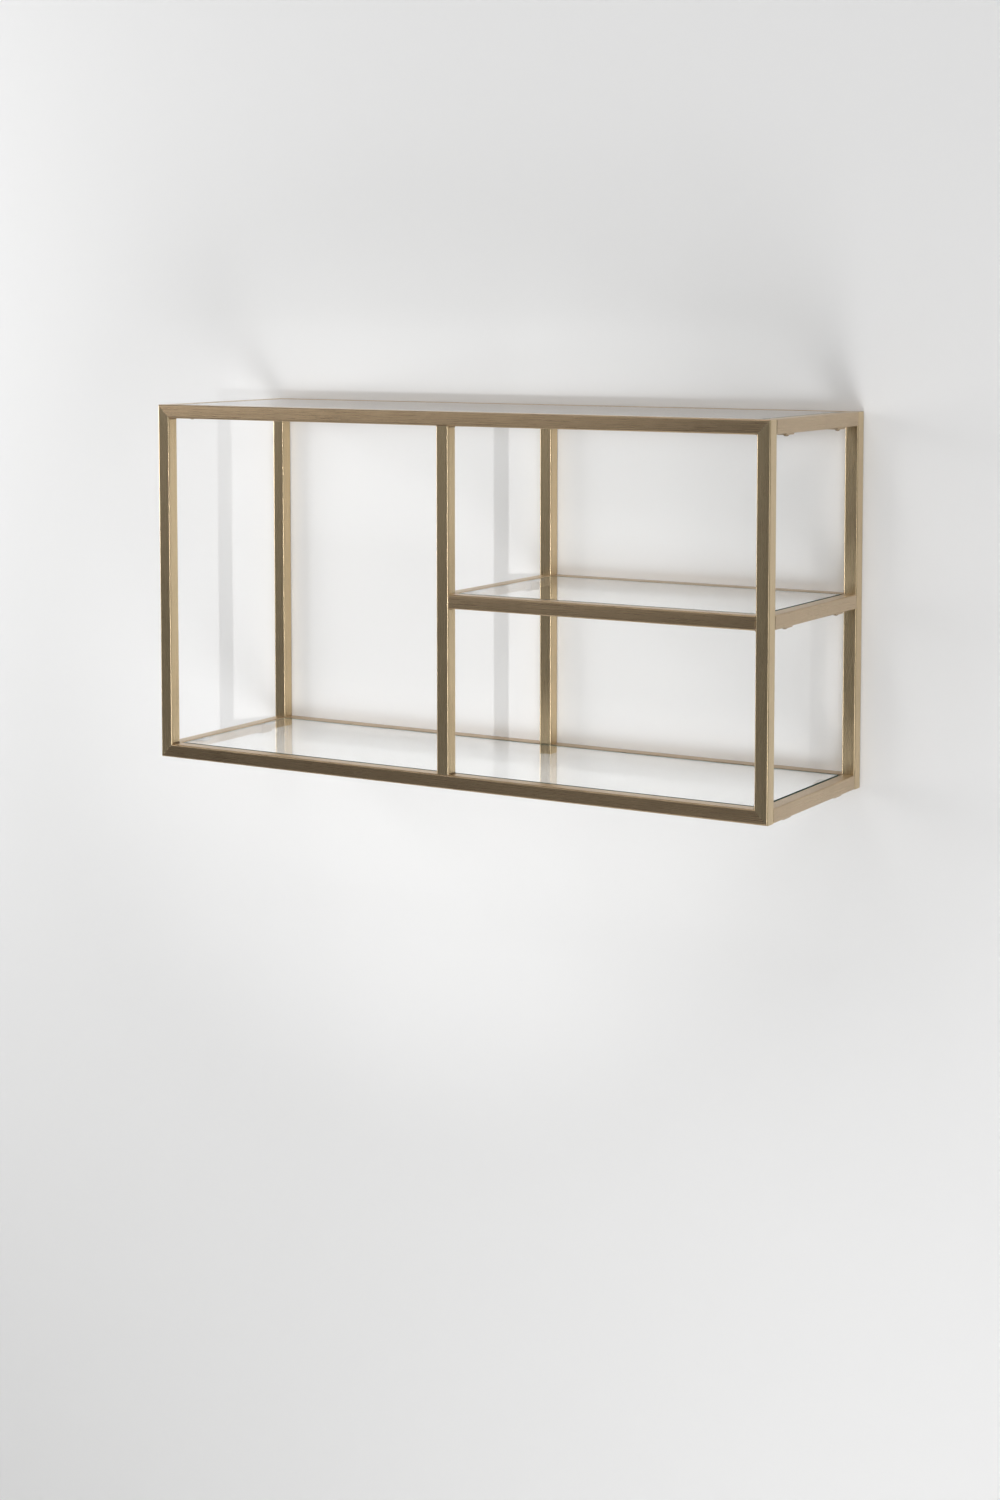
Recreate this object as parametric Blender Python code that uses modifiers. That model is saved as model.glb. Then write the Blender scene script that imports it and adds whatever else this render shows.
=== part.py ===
"""An open wall shelf: a welded frame of square steel tube with a brushed antique-brass finish, and three loose
glass panels that rest on clips screwed under the side rails. Flat bars close the frame behind the two lower panels.

The frame of reference has +X to the right, +Y into the wall and +Z up. Its origin is on the wall plane, at
mid-width, in the middle of the top rear rail's back face. Everything is in metres.
"""

import math

import bmesh
import bpy
from mathutils import Vector

# Driving dimensions
WIDTH = 1.000
HEIGHT = 0.530
DEPTH = 0.310
TUBE = 0.020  # outside of the square tube
TUBE_WALL = 0.0015
TUBE_CORNER = 0.0022  # outside radius of the tube's long edges
TUBE_CORNER_STEPS = 4
BAR = 0.003  # thickness of the flat bars behind the two lower panels, which are as deep as a tube
BAR_CORNER = 0.0005
GAP = 0.0003  # left between pieces that touch

GLASS = 0.006  # thickness of a panel
GLASS_DROP = 0.0003  # how far a panel's top lies under the rails' tops
GLASS_CLEARANCE = 0.003  # between a panel's edge and the rails
GLASS_ARRIS = 0.0008  # ground edges of the glass

CLIP_PLATE = 0.002
CLIP_WIDTH = 0.024
CLIP_LOWER = 0.0175  # flange under the rail
CLIP_UPPER = 0.014  # flange under the glass
CLIP_BEND = 0.0015
CLIP_FROM_POST = 0.050  # middle of a clip, from the post at its end of the side rail

PAD = 0.001
PAD_LENGTH = 0.011
PAD_WIDTH = 0.020
PAD_CORNER = 0.002
PAD_INSET = 0.001  # from the end of the clip's upper flange

SCREW_RADIUS = 0.002
SCREW_LENGTH = 0.008
HEAD_RADIUS = 0.0038
HEAD_HEIGHT = 0.0022
HEAD_DOME = math.radians(75)  # how far the head's dome turns before its flat
HEAD_DOME_STEPS = 3
SCREW_SIDES = 12
SOCKET_ACROSS = 0.0025  # across the flats of the hexagon socket
SOCKET_DEPTH = 0.0012

KEYHOLE_SPACING = 0.900
KEYHOLE_HEAD_RADIUS = 0.0045
KEYHOLE_NECK_RADIUS = 0.00225
KEYHOLE_HEAD_Z = -0.0025
KEYHOLE_NECK_Z = 0.0045

# Where the tubes' middles lie
SIDE_X = (WIDTH - TUBE) / 2
REAR_Y = -TUBE / 2
FRONT_Y = TUBE / 2 - DEPTH
TOP_Z = 0.0
BOTTOM_Z = TUBE - HEIGHT
MIDDLE_Z = (TOP_Z + BOTTOM_Z) / 2
CLIP_PLACES = (
    ("front", FRONT_Y + TUBE / 2 + CLIP_FROM_POST),
    ("rear", REAR_Y - TUBE / 2 - CLIP_FROM_POST),
)

X, Y, Z = 0, 1, 2
BOTH_ENDS = (-1, 1)
UPPER_END = (1,)
SAME_PLACE = 0.00001  # points closer than this are one
PARALLEL = 0.999  # the least cosine between an edge and the axis that it runs along
THROUGH_WALL = 4 * TUBE_WALL  # a cutter's length through one wall of a tube
THROUGH_PLATE = 4 * CLIP_PLATE


def clear_scene():
    for obj in list(bpy.data.objects):
        bpy.data.objects.remove(obj)


def new_collection(name, hidden=False):
    collection = bpy.data.collections.new(name)
    collection.hide_render = hidden
    bpy.context.scene.collection.children.link(collection)
    return collection


def new_material(name, colour, roughness, metallic=0.0, transmission=0.0):
    material = bpy.data.materials.new(name)
    material.use_nodes = True
    shader = material.node_tree.nodes["Principled BSDF"]
    shader.inputs["Base Color"].default_value = (*colour, 1.0)
    shader.inputs["Roughness"].default_value = roughness
    shader.inputs["Metallic"].default_value = metallic
    shader.inputs["Transmission Weight"].default_value = transmission
    return material


clear_scene()
PIECES = new_collection("wall_display_shelf")
CUTTERS = new_collection("cutters", hidden=True)
BRASS = new_material("antique_brass", (0.52, 0.40, 0.25), 0.35, metallic=1.0)
CLEAR_GLASS = new_material("clear_glass", (0.90, 0.97, 0.94), 0.02, transmission=1.0)
SILICONE = new_material("silicone", (0.75, 0.76, 0.76), 0.55)
SCREW_STEEL = new_material("screw_steel", (0.30, 0.25, 0.19), 0.35, metallic=1.0)


def add_object(name, mesh, material, centre=(0, 0, 0)):
    obj = bpy.data.objects.new(name, mesh)
    obj.location = centre
    if not mesh.materials:
        mesh.materials.append(material)
    PIECES.objects.link(obj)
    return obj


def mesh_from(bm, name):
    mesh = bpy.data.meshes.new(name)
    bm.to_mesh(mesh)
    bm.free()
    return mesh


def box(size):
    """A block of the given size about the origin, as a bmesh."""
    bm = bmesh.new()
    bmesh.ops.create_cube(bm, size=1.0)
    bmesh.ops.scale(bm, vec=size, verts=bm.verts)
    return bm


def cylinder(radius, length, segments=16, along=Z):
    """A cylinder about the origin, along one axis, as a bmesh."""
    bm = bmesh.new()
    bmesh.ops.create_cone(
        bm, cap_ends=True, segments=segments, radius1=radius, radius2=radius, depth=length
    )
    if along != Z:
        turn = Vector((0, 0, 1)).rotation_difference(Vector([along == X, along == Y, 0]))
        bmesh.ops.rotate(bm, cent=(0, 0, 0), matrix=turn.to_matrix(), verts=bm.verts)
    return bm


def edges_along(bm, axis):
    """The edges of a block that run along one axis."""
    runs = [(edge, edge.verts[0].co - edge.verts[1].co) for edge in bm.edges]
    return [edge for edge, run in runs if abs(run[axis]) > PARALLEL * run.length]


def cut(obj, bm, centre, name):
    """Cuts a hidden cutter, placed at centre, out of obj."""
    cutter = bpy.data.objects.new(name, mesh_from(bm, name))
    cutter.location = centre
    cutter.hide_render = True
    cutter.display_type = "WIRE"
    CUTTERS.objects.link(cutter)
    boolean = obj.modifiers.new(name, "BOOLEAN")
    boolean.operation = "DIFFERENCE"
    boolean.solver = "EXACT"
    boolean.object = cutter


def finished_mesh(obj):
    """The object's mesh with its modifiers applied, for several objects to share. Removes the object and its
    cutters."""
    bpy.context.view_layer.update()
    graph = bpy.context.evaluated_depsgraph_get()
    mesh = bpy.data.meshes.new_from_object(obj.evaluated_get(graph))
    mesh.name = obj.name
    cutters = [modifier.object for modifier in obj.modifiers if modifier.type == "BOOLEAN"]
    for used in (obj, *cutters):
        bpy.data.objects.remove(used)
    return mesh


# Frame


def tube(name, axis, centre, length, mitre=None, mitred_ends=BOTH_ENDS):
    """A square tube along an axis, open at both ends. mitre is (cross axis, side of its longer face): the mitred
    ends, -1 or 1 along the axis, are cut at 45 degrees from that face."""
    size = [TUBE] * 3
    size[axis] = length
    bm = box(size)
    bmesh.ops.bevel(
        bm,
        geom=edges_along(bm, axis),
        offset=TUBE_CORNER,
        segments=TUBE_CORNER_STEPS,
        profile=0.5,
        affect="EDGES",
    )
    if mitre:
        across, side = mitre
        for vert in bm.verts:
            end = math.copysign(1, vert.co[axis])
            if end in mitred_ends:
                vert.co[axis] -= end * (TUBE / 2 - side * vert.co[across] + GAP / math.sqrt(2))
    obj = add_object(name, mesh_from(bm, name), BRASS, centre)
    bore = [TUBE - 2 * TUBE_WALL] * 3
    bore[axis] = length + TUBE
    cut(obj, box(bore), centre, f"{name}_bore")
    return obj


def middle_post(side, y, foot_z):
    """A post at mid-width that butts under the top rail."""
    head_z = TOP_Z - TUBE / 2 - GAP
    tube(f"post_{side}_middle", Z, (0, y, (head_z + foot_z) / 2), head_z - foot_z)


def front_rectangle():
    """Four tubes mitred at their corners, the middle post, and the rail under the shelf's front edge."""
    tube("post_front_left", Z, (-SIDE_X, FRONT_Y, MIDDLE_Z), HEIGHT, (X, -1))
    tube("post_front_right", Z, (SIDE_X, FRONT_Y, MIDDLE_Z), HEIGHT, (X, 1))
    middle_post("front", FRONT_Y, BOTTOM_Z + TUBE / 2 + GAP)
    tube("rail_top_front", X, (0, FRONT_Y, TOP_Z), WIDTH, (Z, 1))
    tube("rail_bottom_front", X, (0, FRONT_Y, BOTTOM_Z), WIDTH, (Z, -1))
    tube("shelf_rail_front", X, (SIDE_X / 2, FRONT_Y, MIDDLE_Z), SIDE_X - TUBE - 2 * GAP)


def rear_bar(name, left_x, right_x, rail_z):
    """A flat bar between the rear posts whose middles are at left_x and right_x, flush with the rails' tops."""
    length = right_x - left_x - TUBE - 2 * GAP
    bm = box((length, TUBE, BAR))
    bmesh.ops.bevel(
        bm, geom=edges_along(bm, X), offset=BAR_CORNER, segments=2, profile=0.5, affect="EDGES"
    )
    centre = ((left_x + right_x) / 2, REAR_Y, rail_z + TUBE / 2 - BAR / 2)
    add_object(name, mesh_from(bm, name), BRASS, centre)


def rear_rectangle():
    """Three posts under a mitred top rail, with flat bars between them. Returns the rail."""
    tube("post_rear_left", Z, (-SIDE_X, REAR_Y, MIDDLE_Z), HEIGHT, (X, -1), UPPER_END)
    tube("post_rear_right", Z, (SIDE_X, REAR_Y, MIDDLE_Z), HEIGHT, (X, 1), UPPER_END)
    middle_post("rear", REAR_Y, BOTTOM_Z - TUBE / 2)
    rear_bar("rear_bar_bottom_left", -SIDE_X, 0, BOTTOM_Z)
    rear_bar("rear_bar_bottom_right", 0, SIDE_X, BOTTOM_Z)
    rear_bar("rear_bar_shelf", 0, SIDE_X, MIDDLE_Z)
    return tube("rail_top_rear", X, (0, REAR_Y, TOP_Z), WIDTH, (Z, 1))


def cut_keyholes(rail):
    """Two keyholes through the rail's back wall: the wall screw's head goes in below and its neck rides up."""
    neck_run = KEYHOLE_NECK_Z - KEYHOLE_HEAD_Z
    for side, x in (("left", -KEYHOLE_SPACING / 2), ("right", KEYHOLE_SPACING / 2)):
        head = cylinder(KEYHOLE_HEAD_RADIUS, THROUGH_WALL, along=Y)
        cut(rail, head, (x, 0, KEYHOLE_HEAD_Z), f"keyhole_head_{side}")
        slot = box((2 * KEYHOLE_NECK_RADIUS, THROUGH_WALL, neck_run))
        cut(rail, slot, (x, 0, KEYHOLE_HEAD_Z + neck_run / 2), f"keyhole_slot_{side}")
        neck = cylinder(KEYHOLE_NECK_RADIUS, THROUGH_WALL, along=Y)
        cut(rail, neck, (x, 0, KEYHOLE_NECK_Z), f"keyhole_neck_{side}")


def side_rail(name, x, z):
    """A rail between a front and a rear post, with a tapped hole in its lower wall for each clip's screw."""
    length = DEPTH - 2 * TUBE - 2 * GAP
    rail = tube(name, Y, (x, (FRONT_Y + REAR_Y) / 2, z), length)
    for place, y in CLIP_PLACES:
        hole = cylinder(SCREW_RADIUS + GAP, THROUGH_WALL)
        cut(rail, hole, (x, y, z - TUBE / 2), f"{name}_hole_{place}")


# Glass and its supports


def glass_panel(name, left_x, right_x, rail_z):
    """A panel between the side rails whose middles are at left_x and right_x."""
    around = TUBE + 2 * GLASS_CLEARANCE
    size = (right_x - left_x - around, DEPTH - TUBE - around, GLASS)
    bm = box(size)
    bmesh.ops.bevel(
        bm, geom=list(bm.edges), offset=GLASS_ARRIS, segments=1, profile=0.5, affect="EDGES"
    )
    z = rail_z + TUBE / 2 - GLASS_DROP - GLASS / 2
    centre = ((left_x + right_x) / 2, (FRONT_Y + REAR_Y) / 2, z)
    add_object(name, mesh_from(bm, name), CLEAR_GLASS, centre)


# Heights above the middle of the rail that a clip is screwed to
PAD_TOP = TUBE / 2 - GLASS_DROP - GLASS - GAP
UPPER_FLANGE_Z = PAD_TOP - PAD - GAP - CLIP_PLATE / 2
LOWER_FLANGE_Z = -TUBE / 2 - GAP - CLIP_PLATE / 2
HEAD_TOP = LOWER_FLANGE_Z - CLIP_PLATE / 2 - GAP
WEB_X = TUBE / 2 + GAP + CLIP_PLATE / 2  # inwards of the rail's middle


def clip_mesh():
    """A bent plate in the shape of a Z, about the middle of its rail, with +X towards the glass."""
    path = (
        (WEB_X - CLIP_LOWER, LOWER_FLANGE_Z),
        (WEB_X, LOWER_FLANGE_Z),
        (WEB_X, UPPER_FLANGE_Z),
        (WEB_X + CLIP_UPPER, UPPER_FLANGE_Z),
    )
    bm = bmesh.new()
    points = [bm.verts.new((x, -CLIP_WIDTH / 2, z)) for x, z in path]
    edges = [bm.edges.new(pair) for pair in zip(points, points[1:])]
    strip = bmesh.ops.extrude_edge_only(bm, edges=edges)["geom"]
    moved = [item for item in strip if isinstance(item, bmesh.types.BMVert)]
    bmesh.ops.translate(bm, vec=(0, CLIP_WIDTH, 0), verts=moved)
    bends = [edge for edge in edges_along(bm, Y) if not edge.is_boundary]
    bmesh.ops.bevel(bm, geom=bends, offset=CLIP_BEND, segments=2, profile=0.5, affect="EDGES")
    bmesh.ops.recalc_face_normals(bm, faces=bm.faces)
    clip = add_object("clip", mesh_from(bm, "clip"), BRASS)
    solidify = clip.modifiers.new("plate", "SOLIDIFY")
    solidify.thickness = CLIP_PLATE
    solidify.offset = 0.0
    solidify.use_even_offset = True
    hole = cylinder(SCREW_RADIUS + GAP, THROUGH_PLATE)
    cut(clip, hole, (0, 0, LOWER_FLANGE_Z), "clip_hole")
    return finished_mesh(clip)


def pad_mesh():
    """A silicone pad on a clip's upper flange, about the middle of its rail."""
    bm = box((PAD_LENGTH, PAD_WIDTH, PAD))
    bmesh.ops.bevel(
        bm, geom=edges_along(bm, Z), offset=PAD_CORNER, segments=2, profile=0.5, affect="EDGES"
    )
    x = WEB_X + CLIP_UPPER - PAD_LENGTH / 2 - PAD_INSET
    bmesh.ops.translate(bm, vec=(x, 0, PAD_TOP - PAD / 2), verts=bm.verts)
    return mesh_from(bm, "pad")


def screw_mesh():
    """A button-head screw with a hexagon socket, its head down, about the middle of its rail."""
    profile = [
        (0.0, HEAD_TOP + SCREW_LENGTH),
        (SCREW_RADIUS, HEAD_TOP + SCREW_LENGTH),
        (SCREW_RADIUS, HEAD_TOP),
        (HEAD_RADIUS, HEAD_TOP),
    ]
    for step in range(1, HEAD_DOME_STEPS + 1):
        angle = HEAD_DOME * step / HEAD_DOME_STEPS
        profile.append((HEAD_RADIUS * math.cos(angle), HEAD_TOP - HEAD_HEIGHT * math.sin(angle)))
    head_flat = profile[-1][1]
    profile.append((0.0, head_flat))
    bm = bmesh.new()
    points = [bm.verts.new((x, 0, z)) for x, z in profile]
    for pair in zip(points, points[1:]):
        bm.edges.new(pair)
    screw = add_object("screw", mesh_from(bm, "screw"), SCREW_STEEL)
    turned = screw.modifiers.new("turned", "SCREW")
    turned.steps = SCREW_SIDES
    turned.render_steps = SCREW_SIDES
    turned.use_merge_vertices = True
    turned.merge_threshold = SAME_PLACE
    socket = cylinder(SOCKET_ACROSS / math.sqrt(3), 2 * SOCKET_DEPTH, segments=6)
    cut(screw, socket, (0, 0, head_flat), "socket")
    return finished_mesh(screw)


def add_supports(level, side, x, z, inwards):
    """The two clips under one side rail, each with its pad and its screw. inwards is +1 or -1 along X."""
    for place, y in CLIP_PLACES:
        for kind, mesh, material in SUPPORT_PIECES:
            piece = add_object(f"{kind}_{level}_{side}_{place}", mesh, material, (x, y, z))
            piece.rotation_euler.z = 0 if inwards > 0 else math.pi


def add_level(level, left_x, right_x, z):
    """One glass panel with its two side rails and its four supports."""
    rail_name = "shelf_rail_" if level == "shelf" else f"rail_{level}_"
    side_rail(f"{rail_name}left", left_x, z)
    side_rail(f"{rail_name}right", right_x, z)
    glass_panel(f"glass_{level}", left_x, right_x, z)
    add_supports(level, "left", left_x, z, 1)
    add_supports(level, "right", right_x, z, -1)


SUPPORT_PIECES = (
    ("clip", clip_mesh(), BRASS),
    ("pad", pad_mesh(), SILICONE),
    ("screw", screw_mesh(), SCREW_STEEL),
)

front_rectangle()
cut_keyholes(rear_rectangle())
add_level("top", -SIDE_X, SIDE_X, TOP_Z)
add_level("shelf", 0.0, SIDE_X, MIDDLE_Z)
add_level("bottom", -SIDE_X, SIDE_X, BOTTOM_Z)
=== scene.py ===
"""The looks of the wall shelf: brushed antique-brass tubes with ground welds, clear glass panels on silicone
pads, and the pale wall, floor and studio light around them. Metres, in the frame of the CAD model."""

import math

import bmesh
import bpy
from mathutils import Matrix, Vector


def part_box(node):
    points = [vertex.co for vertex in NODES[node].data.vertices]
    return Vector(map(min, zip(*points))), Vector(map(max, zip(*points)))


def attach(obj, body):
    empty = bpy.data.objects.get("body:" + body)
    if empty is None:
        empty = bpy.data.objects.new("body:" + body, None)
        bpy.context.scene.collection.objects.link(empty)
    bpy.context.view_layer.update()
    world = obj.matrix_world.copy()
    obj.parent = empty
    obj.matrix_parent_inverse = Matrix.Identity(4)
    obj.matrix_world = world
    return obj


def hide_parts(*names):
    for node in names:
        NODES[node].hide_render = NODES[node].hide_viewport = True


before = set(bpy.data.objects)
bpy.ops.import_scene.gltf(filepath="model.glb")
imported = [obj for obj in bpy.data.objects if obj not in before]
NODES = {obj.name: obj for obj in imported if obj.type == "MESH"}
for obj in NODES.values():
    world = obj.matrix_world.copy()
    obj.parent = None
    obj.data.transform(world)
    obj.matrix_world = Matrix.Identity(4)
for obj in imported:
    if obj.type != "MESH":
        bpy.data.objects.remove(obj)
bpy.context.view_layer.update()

X, Y, Z = 0, 1, 2

# The tubes, read from the frame
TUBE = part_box("post_front_middle")[1].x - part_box("post_front_middle")[0].x
TUBE_CORNER = 0.0022
CAD_EDGE = 0.00025  # how far a tube's sharp edges are softened
SAME_PLACE = 0.00001  # points closer than this are one
SHARP = math.radians(50)
LEVEL = 0.999  # the least upright part of a normal that counts as level
LEFT_X, FRONT_Y, BOTTOM_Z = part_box("post_front_left")[0]
RIGHT_X, REAR_Y, TOP_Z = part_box("post_rear_right")[1]


# Node helpers


def new_material(name):
    """A material with an empty tree but for its Principled shader: (material, nodes, links, shader)."""
    material = bpy.data.materials.new(name)
    material.use_nodes = True
    nodes = material.node_tree.nodes
    return material, nodes, material.node_tree.links, nodes["Principled BSDF"]


def set_inputs(node, **values):
    """Sets a node's inputs by their names, written with _ for a space."""
    for name, value in values.items():
        node.inputs[name.replace("_", " ")].default_value = value


def noise(nodes, links, scale, detail=2.0, roughness=0.5):
    """A noise texture on the object's own coordinates, scaled per metre for each axis. Returns its Fac."""
    place = nodes.new("ShaderNodeTexCoord")
    mapping = nodes.new("ShaderNodeMapping")
    mapping.inputs["Scale"].default_value = scale
    texture = nodes.new("ShaderNodeTexNoise")
    set_inputs(texture, Scale=1.0, Detail=detail, Roughness=roughness)
    links.new(place.outputs["Object"], mapping.inputs["Vector"])
    links.new(mapping.outputs["Vector"], texture.inputs["Vector"])
    return texture.outputs["Fac"]


def map_range(nodes, links, source, low, high, to_low, to_high):
    """The source's range low to high, stretched to to_low to to_high and clamped there."""
    node = nodes.new("ShaderNodeMapRange")
    for name, value in (("From Min", low), ("From Max", high), ("To Min", to_low), ("To Max", to_high)):
        node.inputs[name].default_value = value
    links.new(source, node.inputs["Value"])
    return node.outputs["Result"]


def mix_colour(nodes, links, factor, first, second, blend="MIX"):
    """A mix of two colours, each a socket or an RGB tuple, by a factor socket or number."""
    node = nodes.new("ShaderNodeMix")
    node.data_type = "RGBA"
    node.blend_type = blend
    for name, value in (("Factor_Float", factor), ("A_Color", first), ("B_Color", second)):
        socket = next(s for s in node.inputs if s.identifier == name)
        if isinstance(value, bpy.types.NodeSocket):
            links.new(value, socket)
        elif isinstance(value, tuple):
            socket.default_value = (*value, 1.0)
        else:
            socket.default_value = value
    return next(s for s in node.outputs if s.identifier == "Result_Color")


def worn_edges(nodes, links, radius):
    """1 on edges that handling has polished, 0 on flat faces."""
    bevel = nodes.new("ShaderNodeBevel")
    bevel.samples = 4
    bevel.inputs["Radius"].default_value = radius
    geometry = nodes.new("ShaderNodeNewGeometry")
    dot = nodes.new("ShaderNodeVectorMath")
    dot.operation = "DOT_PRODUCT"
    links.new(bevel.outputs["Normal"], dot.inputs[0])
    links.new(geometry.outputs["Normal"], dot.inputs[1])
    return map_range(nodes, links, dot.outputs["Value"], 0.98, 0.80, 0.0, 1.0)


# Materials

# The plating's tone on the pieces brushed along X, Y and Z: one plating in lit and shaded copies, with
# painted light and shade that makes the posts (Z) lighter and the rails (X, Y) darker, as the light falls on
# each
BRASS_LIT_TONES = ((0.58, 0.425, 0.265), (0.60, 0.465, 0.315), (0.66, 0.520, 0.325))
BRASS_WORN = (0.88, 0.76, 0.56)


def shade(colour, share):
    return tuple(channel * share for channel in colour)


def brushed_brass(axis):
    """Antique-brass plating, brushed along one axis, with long fine scratches, broader streaks and a cloudy
    patina."""
    material, nodes, links, shader = new_material(f"brushed_brass_{'xyz'[axis]}")
    # this tone carries the painted light and shade of the pieces brushed along this axis
    lit_tone = BRASS_LIT_TONES[axis]

    def grain(across, along, detail):
        scale = [across] * 3
        scale[axis] = along
        return noise(nodes, links, scale, detail=detail, roughness=0.6)

    scratches = grain(1500.0, 9.0, 3.0)
    streaks = grain(260.0, 3.5, 2.0)
    patina = noise(nodes, links, (14.0, 14.0, 14.0), detail=4.0, roughness=0.65)
    streak_mask = map_range(nodes, links, streaks, 0.36, 0.66, 0.0, 1.0)
    scratch_mask = map_range(nodes, links, scratches, 0.40, 0.62, 0.0, 0.55)
    patina_mask = map_range(nodes, links, patina, 0.50, 0.75, 0.0, 0.55)
    colour = mix_colour(nodes, links, streak_mask, shade(lit_tone, 0.97), lit_tone)
    colour = mix_colour(nodes, links, scratch_mask, colour, shade(lit_tone, 0.84))
    colour = mix_colour(nodes, links, patina_mask, colour, shade(lit_tone, 0.78))
    worn = worn_edges(nodes, links, 0.0012)
    colour = mix_colour(nodes, links, map_range(nodes, links, worn, 0.0, 1.0, 0.0, 0.5), colour, BRASS_WORN)
    links.new(colour, shader.inputs["Base Color"])
    links.new(map_range(nodes, links, scratches, 0.3, 0.7, 0.25, 0.32), shader.inputs["Roughness"])
    set_inputs(shader, Metallic=1.0, Anisotropic=0.8)
    shader.inputs["Anisotropic Rotation"].default_value = 0.25
    tangent = nodes.new("ShaderNodeTangent")
    tangent.direction_type = "RADIAL"
    tangent.axis = "XYZ"[axis]
    links.new(tangent.outputs["Tangent"], shader.inputs["Tangent"])
    bump = nodes.new("ShaderNodeBump")
    set_inputs(bump, Strength=0.035, Distance=0.0002)
    links.new(scratches, bump.inputs["Height"])
    links.new(bump.outputs["Normal"], shader.inputs["Normal"])
    return material


def weld_metal():
    """The ground weld in a joint: the same plating, a little darker and duller in its groove."""
    material, nodes, links, shader = new_material("ground_weld")
    ripple = noise(nodes, links, (420.0, 420.0, 420.0), detail=3.0)
    tint = map_range(nodes, links, ripple, 0.35, 0.65, 0.0, 1.0)
    colour = mix_colour(nodes, links, tint, (0.22, 0.16, 0.10), (0.40, 0.30, 0.19))
    links.new(colour, shader.inputs["Base Color"])
    links.new(map_range(nodes, links, ripple, 0.3, 0.7, 0.40, 0.60), shader.inputs["Roughness"])
    set_inputs(shader, Metallic=1.0)
    return material


def clip_brass():
    """The clips' plating: unbrushed, with fine wear all ways."""
    material, nodes, links, shader = new_material("clip_brass")
    cloud = noise(nodes, links, (180.0, 180.0, 180.0), detail=4.0, roughness=0.6)
    mask = map_range(nodes, links, cloud, 0.35, 0.65, 0.0, 1.0)
    # the clips start from the side rails' tone, painted light and shade included
    colour = mix_colour(nodes, links, mask, shade(BRASS_LIT_TONES[Y], 0.75), shade(BRASS_LIT_TONES[Y], 0.95))
    worn = worn_edges(nodes, links, 0.0006)
    links.new(mix_colour(nodes, links, worn, colour, BRASS_WORN), shader.inputs["Base Color"])
    links.new(map_range(nodes, links, cloud, 0.3, 0.7, 0.25, 0.38), shader.inputs["Roughness"])
    set_inputs(shader, Metallic=1.0)
    return material


def screw_metal():
    """Blackened brass plate, polished where a key has turned it."""
    material, nodes, links, shader = new_material("screw_metal")
    cloud = noise(nodes, links, (900.0, 900.0, 900.0), detail=3.0)
    mask = map_range(nodes, links, cloud, 0.35, 0.65, 0.0, 1.0)
    colour = mix_colour(nodes, links, mask, (0.24, 0.19, 0.13), (0.36, 0.29, 0.20))
    worn = worn_edges(nodes, links, 0.0003)
    links.new(mix_colour(nodes, links, worn, colour, (0.58, 0.48, 0.33)), shader.inputs["Base Color"])
    links.new(map_range(nodes, links, cloud, 0.3, 0.7, 0.25, 0.40), shader.inputs["Roughness"])
    set_inputs(shader, Metallic=1.0)
    return material


def silicone():
    """A milky, slightly dusty silicone pad."""
    material, nodes, links, shader = new_material("silicone")
    cloud = noise(nodes, links, (600.0, 600.0, 600.0), detail=2.0)
    mask = map_range(nodes, links, cloud, 0.35, 0.65, 0.0, 1.0)
    colour = mix_colour(nodes, links, mask, (0.70, 0.72, 0.72), (0.82, 0.83, 0.82))
    links.new(colour, shader.inputs["Base Color"])
    links.new(map_range(nodes, links, cloud, 0.3, 0.7, 0.38, 0.55), shader.inputs["Roughness"])
    set_inputs(shader, Transmission_Weight=0.35, IOR=1.41)
    return material


def pass_lamps(nodes, links, shader):
    """Lets lamps and bounced light straight through glass, so that what is behind it is lit without noise."""
    path = nodes.new("ShaderNodeLightPath")
    either = nodes.new("ShaderNodeMath")
    either.operation = "MAXIMUM"
    links.new(path.outputs["Is Shadow Ray"], either.inputs[0])
    links.new(path.outputs["Is Diffuse Ray"], either.inputs[1])
    clear = nodes.new("ShaderNodeBsdfTransparent")
    clear.inputs["Color"].default_value = (0.950, 0.953, 0.951, 1.0)
    mix = nodes.new("ShaderNodeMixShader")
    links.new(either.outputs["Value"], mix.inputs["Fac"])
    links.new(shader.outputs["BSDF"], mix.inputs[1])
    links.new(clear.outputs["BSDF"], mix.inputs[2])
    links.new(mix.outputs["Shader"], nodes["Material Output"].inputs["Surface"])


def float_glass():
    """Clear float glass. Its faces carry a trace of dust and wiping marks, seen only in the gloss."""
    material, nodes, links, shader = new_material("float_glass")
    wiping = noise(nodes, links, (5.0, 22.0, 5.0), detail=5.0, roughness=0.6)
    links.new(map_range(nodes, links, wiping, 0.45, 0.75, 0.0, 0.045), shader.inputs["Roughness"])
    set_inputs(shader, Base_Color=(0.992, 0.998, 0.995, 1.0), Transmission_Weight=1.0, IOR=1.52)
    pass_lamps(nodes, links, shader)
    return material


def shaded_glass_edge():
    """The ground edge of a panel, frosted by the wheel along the edge. Its deep, near-black green is partly
    the glass's own green and partly painted shade, standing for the dimly lit gap between the panel and the
    frame."""
    material, nodes, links, shader = new_material("shaded_glass_edge")
    wheel = noise(nodes, links, (60.0, 60.0, 1600.0), detail=3.0)
    mask = map_range(nodes, links, wheel, 0.35, 0.65, 0.0, 1.0)
    # painted shade: this dark green stands partly for the shade in the gap beside the panel
    colour = mix_colour(nodes, links, mask, (0.045, 0.085, 0.070), (0.085, 0.140, 0.115))
    links.new(colour, shader.inputs["Base Color"])
    links.new(map_range(nodes, links, wheel, 0.3, 0.7, 0.22, 0.40), shader.inputs["Roughness"])
    set_inputs(shader, Transmission_Weight=0.15, IOR=1.05)
    return material


BRASS = [brushed_brass(axis) for axis in (X, Y, Z)]
WELD = weld_metal()
CLIP = clip_brass()
SCREW = screw_metal()
SILICONE = silicone()
GLASS = float_glass()
SHADED_GLASS_EDGE = shaded_glass_edge()


# The CAD pieces: finishes and softened edges


def long_axis(node):
    low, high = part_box(node)
    size = high - low
    return max((X, Y, Z), key=lambda axis: size[axis])


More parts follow.
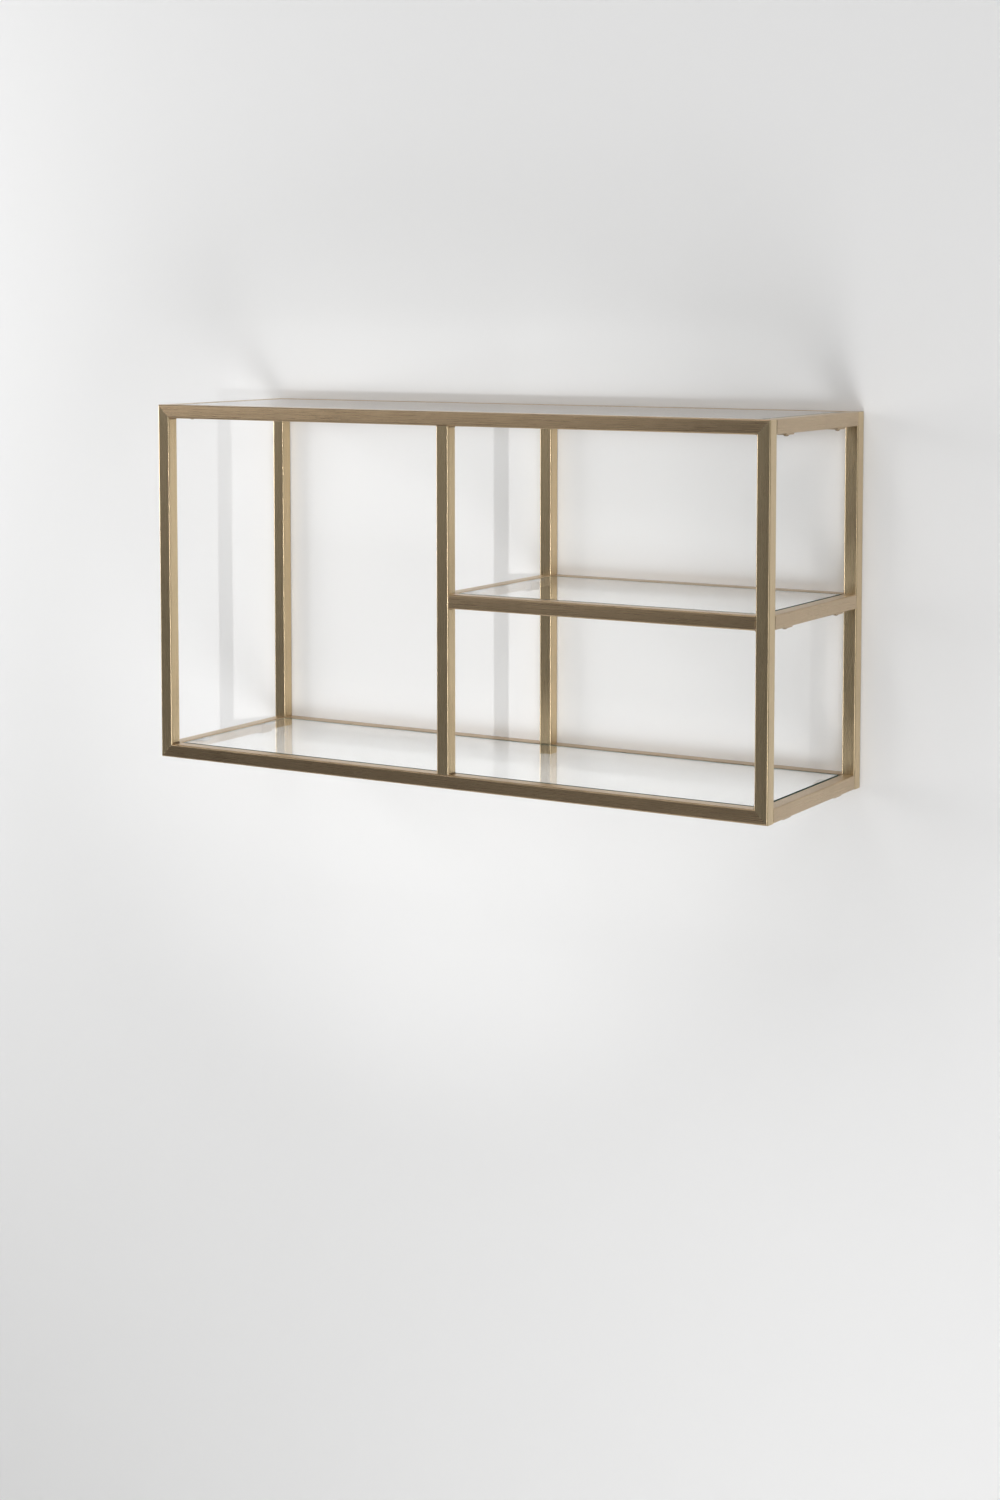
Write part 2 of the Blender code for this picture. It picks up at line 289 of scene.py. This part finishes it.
def smoothing_tree(limit):
    """A modifier's tree that shades a piece smooth, but for its edges sharper than the limit."""
    tree = bpy.data.node_groups.new("smooth_by_angle", "GeometryNodeTree")
    for way in ("INPUT", "OUTPUT"):
        tree.interface.new_socket("Geometry", in_out=way, socket_type="NodeSocketGeometry")
    nodes, links = tree.nodes, tree.links
    start = nodes.new("NodeGroupInput")
    end = nodes.new("NodeGroupOutput")
    faces = nodes.new("GeometryNodeSetShadeSmooth")
    faces.domain = "FACE"
    edges = nodes.new("GeometryNodeSetShadeSmooth")
    edges.domain = "EDGE"
    edges.inputs["Shade Smooth"].default_value = False
    angle = nodes.new("GeometryNodeInputMeshEdgeAngle")
    sharp = nodes.new("ShaderNodeMath")
    sharp.operation = "GREATER_THAN"
    sharp.inputs[1].default_value = limit
    links.new(angle.outputs["Unsigned Angle"], sharp.inputs[0])
    links.new(sharp.outputs["Value"], edges.inputs["Selection"])
    links.new(start.outputs["Geometry"], faces.inputs["Geometry"])
    links.new(faces.outputs["Geometry"], edges.inputs["Geometry"])
    links.new(edges.outputs["Geometry"], end.inputs["Geometry"])
    return tree


SMOOTHING = smoothing_tree(math.radians(30))


def soften(obj, width, segments=2):
    """Rounds a piece's sharp edges a little, so that they catch the light, and shades its curves smooth but
    its flat faces flat."""
    weld = obj.modifiers.new("joined", "WELD")
    weld.merge_threshold = SAME_PLACE
    bevel = obj.modifiers.new("softened", "BEVEL")
    bevel.width = width
    bevel.segments = segments
    bevel.limit_method = "ANGLE"
    bevel.angle_limit = SHARP
    bevel.use_clamp_overlap = True
    smooth = obj.modifiers.new("smooth", "NODES")
    smooth.node_group = SMOOTHING
    flatten = obj.modifiers.new("flat_faces", "WEIGHTED_NORMAL")
    flatten.weight = 100
    flatten.keep_sharp = True


def finish_cad_pieces():
    finishes = {"clip": (CLIP, 0.0003), "pad": (SILICONE, 0.00025), "screw": (SCREW, 0.00015)}
    for name, obj in NODES.items():
        kind = name.split("_")[0]
        if kind == "glass":
            continue
        if kind in finishes:
            material, width = finishes[kind]
        else:
            material, width = BRASS[long_axis(name)], CAD_EDGE
        obj.data.materials.clear()
        obj.data.materials.append(material)
        soften(obj, width)


# Glass panels

PANEL_CORNER = 0.002
PANEL_ARRIS = 0.0006


def add_piece(name, bm, materials):
    mesh = bpy.data.meshes.new(name)
    bm.to_mesh(mesh)
    bm.free()
    for material in materials:
        mesh.materials.append(material)
    obj = bpy.data.objects.new(name, mesh)
    bpy.context.scene.collection.objects.link(obj)
    return obj


def glass_panel(node, body):
    """A panel with rounded corners and ground arrises, in the place of its CAD solid."""
    low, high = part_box(node)
    size = high - low
    bm = bmesh.new()
    bmesh.ops.create_cube(bm, size=1.0)
    bmesh.ops.scale(bm, vec=size, verts=bm.verts)
    upright = [e for e in bm.edges if abs((e.verts[0].co - e.verts[1].co).z) > size.z / 2]
    bmesh.ops.bevel(bm, geom=upright, offset=PANEL_CORNER, segments=4, profile=0.5, affect="EDGES")
    rims = [e for e in bm.edges if abs((e.verts[0].co - e.verts[1].co).z) < size.z / 2]
    bmesh.ops.bevel(bm, geom=rims, offset=PANEL_ARRIS, segments=2, profile=0.6, affect="EDGES")
    for face in bm.faces:
        face.material_index = 0 if abs(face.normal.z) > LEVEL else 1
        face.smooth = abs(face.normal.z) < LEVEL
    bmesh.ops.translate(bm, vec=(low + high) / 2, verts=bm.verts)
    panel = add_piece(f"{node}_panel", bm, (GLASS, SHADED_GLASS_EDGE))
    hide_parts(node)
    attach(panel, body)


# Welds

WELD_INSET = 0.00035  # how deep the ground weld lies under the tubes' faces
WELD_LENGTH = 0.0009  # it reaches a little into both tubes' softened ends
HALF_GAP = 0.00015  # from a tube's end to the middle of its joint
BAR_CORNER = 0.0005
CAP_SIDE = TUBE - 0.0034  # the caps stand in the tubes' bores
CAP_EDGE = 0.0003
CAP_THICKNESS = 0.0015
BEAD = 0.0016  # radius of the weld left in an inner corner
BEAD_LENGTH = 0.015
BEAD_RIPPLES = 9
BEAD_WAIST = 0.12  # how much slimmer every other ripple is
BEAD_INSET = BEAD * 0.25  # from the corner to a ripple's middle

REAR_BARS = ("rear_bar_bottom_left", "rear_bar_bottom_right", "rear_bar_shelf")
SIDE_RAILS = [
    f"{rail}_{side}" for rail in ("rail_top", "shelf_rail", "rail_bottom") for side in ("left", "right")
]
BUTT_ENDS = {name: (-1, 1) for name in (*SIDE_RAILS, *REAR_BARS, "post_front_middle", "shelf_rail_front")}
BUTT_ENDS["post_rear_middle"] = (1,)


def rounded_plate(bm, size, corner, place):
    """A plate of the given size with its edges along its own Z rounded, put at a place, which is a matrix."""
    made = bmesh.ops.create_cube(bm, size=1.0)["verts"]
    bmesh.ops.scale(bm, vec=size, verts=made)
    edges = {edge for vert in made for edge in vert.link_edges}
    upright = [e for e in edges if abs((e.verts[0].co - e.verts[1].co).z) > size[2] / 2]
    rounded = bmesh.ops.bevel(bm, geom=upright, offset=corner, segments=3, profile=0.5, affect="EDGES")
    verts = {vert for face in rounded["faces"] for vert in face.verts}
    bmesh.ops.transform(bm, matrix=place, verts=list(verts))


def turned_to(axis):
    """The turn that takes +Z to an axis and keeps +Y where it can."""
    quarter = math.pi / 2
    if axis == Z:
        return Matrix.Identity(4)
    return Matrix.Rotation(quarter, 4, "Y") if axis == X else Matrix.Rotation(quarter, 4, "X")


def mitre_welds(bm):
    """The mitres: at all four corners in front, and at the upper two behind."""
    half = TUBE / 2
    side = TUBE - 2 * WELD_INSET
    for y, ends in ((FRONT_Y + half, (-1, 1)), (REAR_Y - half, (1,))):
        for across in (-1, 1):
            for up in ends:
                x = (RIGHT_X - half) * across
                z = TOP_Z - half if up > 0 else BOTTOM_Z + half
                place = Matrix.Translation((x, y, z)) @ Matrix.Rotation(-across * up * math.pi / 4, 4, "Y")
                rounded_plate(bm, (side * math.sqrt(2), side, WELD_LENGTH), TUBE_CORNER, place)


def butt_welds(bm):
    for name, ends in BUTT_ENDS.items():
        low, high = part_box(name)
        size = high - low
        axis = long_axis(name)
        depth = (size.x if axis == Z else size.z) - 2 * WELD_INSET
        width = (size.x if axis == Y else size.y) - 2 * WELD_INSET
        corner = BAR_CORNER if name in REAR_BARS else TUBE_CORNER
        for end in ends:
            centre = (low + high) / 2
            centre[axis] += end * (size[axis] / 2 + HALF_GAP)
            place = Matrix.Translation(centre) @ turned_to(axis)
            plate = (width, depth, WELD_LENGTH) if axis == Y else (depth, width, WELD_LENGTH)
            rounded_plate(bm, plate, corner, place)


def ground_welds():
    """The welds that are ground flush on the outside of the frame."""
    bm = bmesh.new()
    mitre_welds(bm)
    butt_welds(bm)
    welds = add_piece("ground_welds", bm, (WELD,))
    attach(welds, "frame")


def post_end_caps():
    """The plates that close the rear posts' feet."""
    bm = bmesh.new()
    for name in ("post_rear_left", "post_rear_middle", "post_rear_right"):
        low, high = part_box(name)
        middle = (low + high) / 2
        place = Matrix.Translation((middle.x, middle.y, low.z + CAP_THICKNESS))
        rounded_plate(bm, (CAP_SIDE, CAP_SIDE, CAP_THICKNESS), BAR_CORNER, place)
    caps = add_piece("post_end_caps", bm, (CLIP,))
    soften(caps, CAP_EDGE)
    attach(caps, "frame")


def bead(bm, corner, away_x, away_z):
    """A short rippled weld along Y in the inner corner of two tubes. away_x and away_z point out of the
    corner."""
    for ripple in range(BEAD_RIPPLES):
        along = (ripple / (BEAD_RIPPLES - 1) - 0.5) * (BEAD_LENGTH - 2 * BEAD)
        radius = BEAD * (1.0 - BEAD_WAIST * (ripple % 2))
        drop = bmesh.ops.create_icosphere(bm, subdivisions=2, radius=radius)["verts"]
        middle = (corner[0] + away_x * BEAD_INSET, corner[1] + along, corner[2] + away_z * BEAD_INSET)
        bmesh.ops.translate(bm, vec=middle, verts=drop)


def weld_beads():
    """The welds that were left unground in the corners inside the front and the rear rectangle."""
    bm = bmesh.new()
    half = TUBE / 2
    top, foot = TOP_Z - TUBE, BOTTOM_Z + TUBE
    shelf_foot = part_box("shelf_rail_front")[0].z
    posts = ((LEFT_X + TUBE, 1), (-half, -1), (half, 1), (RIGHT_X - TUBE, -1))
    for x, away_x in posts:
        bead(bm, (x, FRONT_Y + half, foot), away_x, 1)
        bead(bm, (x, FRONT_Y + half, top), away_x, -1)
        bead(bm, (x, REAR_Y - half, top), away_x, -1)
    for x, away_x in posts[2:]:
        bead(bm, (x, FRONT_Y + half, shelf_foot), away_x, -1)
    for face in bm.faces:
        face.smooth = True
    beads = add_piece("weld_beads", bm, (WELD,))
    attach(beads, "frame")


# The studio


def stage_plane(name, size, location, rotation, material):
    bm = bmesh.new()
    bmesh.ops.create_grid(bm, x_segments=1, y_segments=1, size=0.5)
    bmesh.ops.scale(bm, vec=(*size, 1.0), verts=bm.verts)
    plane = add_piece(name, bm, (material,))
    plane.location = location
    plane.rotation_euler = rotation
    return plane


TOUCHING = 0.004  # the wall is clear to rays that start nearer than this


def wall_paint():
    """Matt white paint. The wall is one-sided: it is clear from behind, and to whatever touches it."""
    material, nodes, links, shader = new_material("wall_paint")
    set_inputs(shader, Base_Color=(0.90, 0.90, 0.90, 1.0), Roughness=0.9)
    geometry = nodes.new("ShaderNodeNewGeometry")
    path = nodes.new("ShaderNodeLightPath")
    near = nodes.new("ShaderNodeMath")
    near.operation = "LESS_THAN"
    near.inputs[1].default_value = TOUCHING
    links.new(path.outputs["Ray Length"], near.inputs[0])
    either = nodes.new("ShaderNodeMath")
    either.operation = "MAXIMUM"
    links.new(geometry.outputs["Backfacing"], either.inputs[0])
    links.new(near.outputs["Value"], either.inputs[1])
    clear = nodes.new("ShaderNodeBsdfTransparent")
    mix = nodes.new("ShaderNodeMixShader")
    links.new(either.outputs["Value"], mix.inputs["Fac"])
    links.new(shader.outputs["BSDF"], mix.inputs[1])
    links.new(clear.outputs["BSDF"], mix.inputs[2])
    links.new(mix.outputs["Shader"], nodes["Material Output"].inputs["Surface"])
    return material


def floor_paint():
    """Pale paint. Its faint glow stands in for the light that a whole room would bounce up from the floor."""
    material, _, _, shader = new_material("floor_paint")
    set_inputs(shader, Base_Color=(0.78, 0.78, 0.77, 1.0), Roughness=0.7)
    set_inputs(shader, Emission_Color=(1.0, 1.0, 0.99, 1.0), Emission_Strength=0.07)
    return material


FLOOR_Z = -2.95  # under the lowest soft box
WALL_Y = 0.0015


def add_stage():
    quarter = math.pi / 2
    stage_plane("wall", (14.0, 6.0), (0, WALL_Y, FLOOR_Z + 3.0), (quarter, 0, 0), wall_paint())
    stage_plane("floor", (14.0, 14.0), (0, 0, FLOOR_Z), (0, 0, 0), floor_paint())


def place_lamp(name, data, location, target):
    lamp = bpy.data.objects.new(name, data)
    lamp.location = location
    lamp.rotation_euler = (Vector(target) - Vector(location)).to_track_quat("-Z", "Y").to_euler()
    bpy.context.scene.collection.objects.link(lamp)


def add_lamp(name, location, target, size, power):
    """A square soft box."""
    data = bpy.data.lights.new(name, "AREA")
    data.shape = "SQUARE"
    data.size = size
    data.energy = power
    place_lamp(name, data, location, target)


def add_spot(name, location, target, size, power, cone):
    """A small lamp with a soft-edged cone, given in degrees."""
    data = bpy.data.lights.new(name, "SPOT")
    data.shadow_soft_size = size / 2
    data.energy = power
    data.spot_size = math.radians(cone)
    data.spot_blend = 1.0
    place_lamp(name, data, location, target)


# Name, place, target, side and watts of each soft box
SOFT_BOXES = (
    ("front_left", (-2.3, -3.4, 1.25), (0.0, 0.0, 0.3), 2.6, 10.0),
    ("overhead", (0.0, -2.6, 3.0), (0.0, 0.0, -0.3), 2.4, 44.0),
    ("high_right", (2.8, -3.2, 2.8), (0.3, 0.0, -0.3), 2.4, 32.0),
    ("side", (-3.0, -0.9, 0.2), (-0.2, 0.0, -0.3), 1.6, 54.0),
    ("front_right", (3.0, -3.6, 0.0), (0.0, -0.1, -0.25), 2.0, 18.0),
    ("floor_right", (1.4, -2.6, -2.0), (0.2, 0.0, -0.6), 1.8, 42.0),
)


def add_lights():
    """A small hard lamp that throws the posts' shadows into the left bay, and large soft boxes around it."""
    add_spot("key", (1.32, -4.75, -0.18), (-0.22, 0.0, -0.42), 0.045, 200.0, 17.5)
    for name, location, target, size, power in SOFT_BOXES:
        add_lamp(name, location, target, size, power)


# Soft bright patches of the surroundings: azimuth (0 in front, + to the left), elevation, sharpness and
# strength. The last one lights the back of the shelf, and the wall keeps it from the front.
PATCHES = (
    (38, -4, 12, 0.12),
    (10, 0, 12, 0.05),
    (180, 10, 1, 0.50),
)
SEEN_DIRECTLY = 0.80  # brightness of the surroundings as the camera sees them


def patch(nodes, links, place, azimuth, elevation, sharpness, strength):
    """Brightness that falls off around a direction, given in degrees."""
    turn, lift = math.radians(azimuth), math.radians(elevation)
    dot = nodes.new("ShaderNodeVectorMath")
    dot.operation = "DOT_PRODUCT"
    dot.inputs[1].default_value = (
        -math.sin(turn) * math.cos(lift), -math.cos(turn) * math.cos(lift), math.sin(lift)
    )
    links.new(place.outputs["Generated"], dot.inputs[0])
    last = dot.outputs["Value"]
    for operation, value in (("MAXIMUM", 0.0001), ("POWER", sharpness), ("MULTIPLY", strength)):
        step = nodes.new("ShaderNodeMath")
        step.operation = operation
        step.inputs[1].default_value = value
        links.new(last, step.inputs[0])
        last = step.outputs["Value"]
    return last


def add_world():
    """Dim studio surroundings with soft patches. What the camera sees directly, or through glass, is pale."""
    world = bpy.data.worlds.new("studio")
    world.use_nodes = True
    nodes, links = world.node_tree.nodes, world.node_tree.links
    place = nodes.new("ShaderNodeTexCoord")
    total = patch(nodes, links, place, *PATCHES[0])
    for values in PATCHES[1:]:
        add = nodes.new("ShaderNodeMath")
        links.new(total, add.inputs[0])
        links.new(patch(nodes, links, place, *values), add.inputs[1])
        total = add.outputs["Value"]
    path = nodes.new("ShaderNodeLightPath")
    seen = nodes.new("ShaderNodeMath")
    seen.operation = "MAXIMUM"
    links.new(path.outputs["Is Camera Ray"], seen.inputs[0])
    links.new(path.outputs["Is Transmission Ray"], seen.inputs[1])
    strength = nodes.new("ShaderNodeMix")
    strength.data_type = "FLOAT"
    links.new(seen.outputs["Value"], strength.inputs["Factor"])
    links.new(total, strength.inputs["A"])
    strength.inputs["B"].default_value = SEEN_DIRECTLY
    background = nodes["Background"]
    background.inputs["Color"].default_value = (1.0, 1.0, 1.0, 1.0)
    links.new(strength.outputs["Result"], background.inputs["Strength"])
    bpy.context.scene.world = world


# The camera looks level but for a slight tilt down

SENSOR = 36.0
FOCAL_SHARE = 1.65893  # focal length as a share of the frame's longer side
CAMERA_PLACE = (1.840, -3.235, 0.152)
CAMERA_YAW = -0.5381
CAMERA_PITCH = -0.0766
CAMERA_SHIFT = -1 / 6  # of the frame's longer side: the shelf stands above the middle


def add_camera():
    data = bpy.data.cameras.new("camera")
    data.sensor_width = SENSOR
    data.lens = SENSOR * FOCAL_SHARE
    data.shift_y = CAMERA_SHIFT
    camera = bpy.data.objects.new("camera", data)
    camera.location = CAMERA_PLACE
    flat = math.cos(CAMERA_PITCH)
    ahead = Vector((math.sin(CAMERA_YAW) * flat, math.cos(CAMERA_YAW) * flat, math.sin(CAMERA_PITCH)))
    camera.rotation_euler = ahead.to_track_quat("-Z", "Y").to_euler()
    bpy.context.scene.collection.objects.link(camera)
    bpy.context.scene.camera = camera


finish_cad_pieces()
for level in ("top", "shelf", "bottom"):
    glass_panel(f"glass_{level}", f"{level}_glass")
ground_welds()
weld_beads()
post_end_caps()
add_stage()
add_lights()
add_world()
add_camera()
bpy.context.scene.view_settings.view_transform = "Standard"
